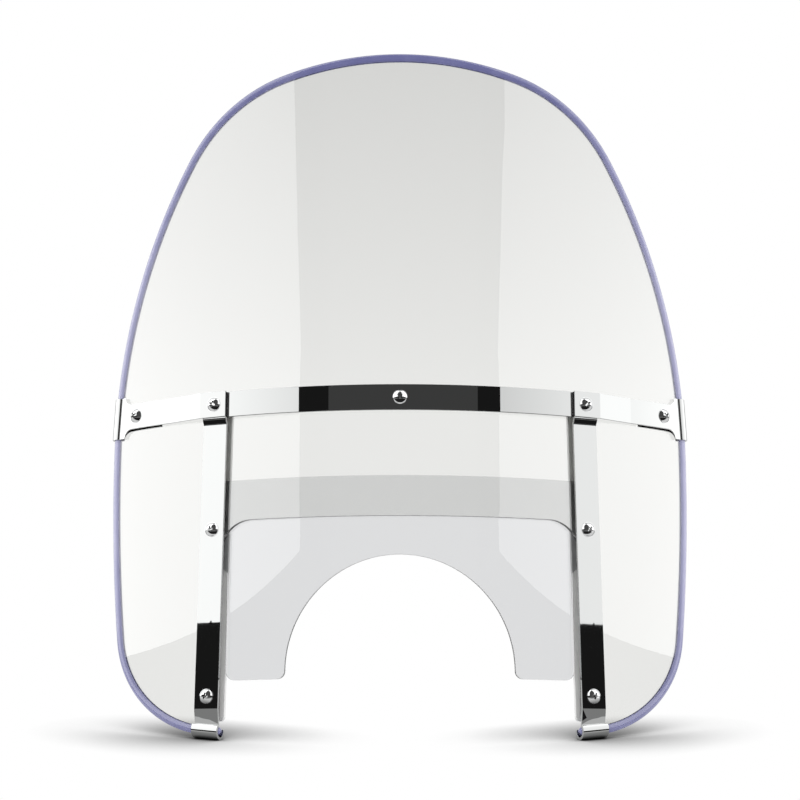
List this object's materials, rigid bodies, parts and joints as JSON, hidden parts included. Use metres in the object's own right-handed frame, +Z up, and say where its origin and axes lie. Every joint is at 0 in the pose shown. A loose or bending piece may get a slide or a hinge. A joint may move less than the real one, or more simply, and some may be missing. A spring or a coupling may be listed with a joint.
{
  "type": "motorcycle windshield",
  "caption": "Clear bent motorcycle windshield with a round edge bead, chromed cross strap, end clips and leg straps, and a lower panel arched over the headlamp.",
  "frame": {"origin": "middle of the base: the lowest point of the feet, in the middle of the width and the depth", "axes": "+Z up, +Y to the rear towards the rider, +X to the right in the picture's view from the front"},
  "size_m": [0.582, 0.1598, 0.6695],
  "materials": {
    "clear_screen": "polished",
    "clear_panel": "polished",
    "bead": "gloss",
    "chrome_strap": "polished",
    "chrome_fastener": "polished",
    "rubber": "matte"
  },
  "bodies": {
    "root": {"main_screen": "clear_screen", "lower_screen": "clear_panel", "edge_bead": "bead", "centre_strap": "chrome_strap", "left_end_clip": "chrome_strap", "right_end_clip": "chrome_strap", "left_front_strap": "chrome_strap", "right_front_strap": "chrome_strap", "left_back_strap": "chrome_strap", "right_back_strap": "chrome_strap", "centre_screw": "chrome_fastener", "outer_screws": "chrome_fastener", "corner_screws": "chrome_fastener", "middle_screws": "chrome_fastener", "lower_screws": "chrome_fastener", "acorn_nuts": "chrome_fastener", "centre_flat_washer": "chrome_fastener", "front_rubber_washers": "rubber", "rear_rubber_washers": "rubber", "strap_spacers": "rubber"}
  },
  "joints": []
}
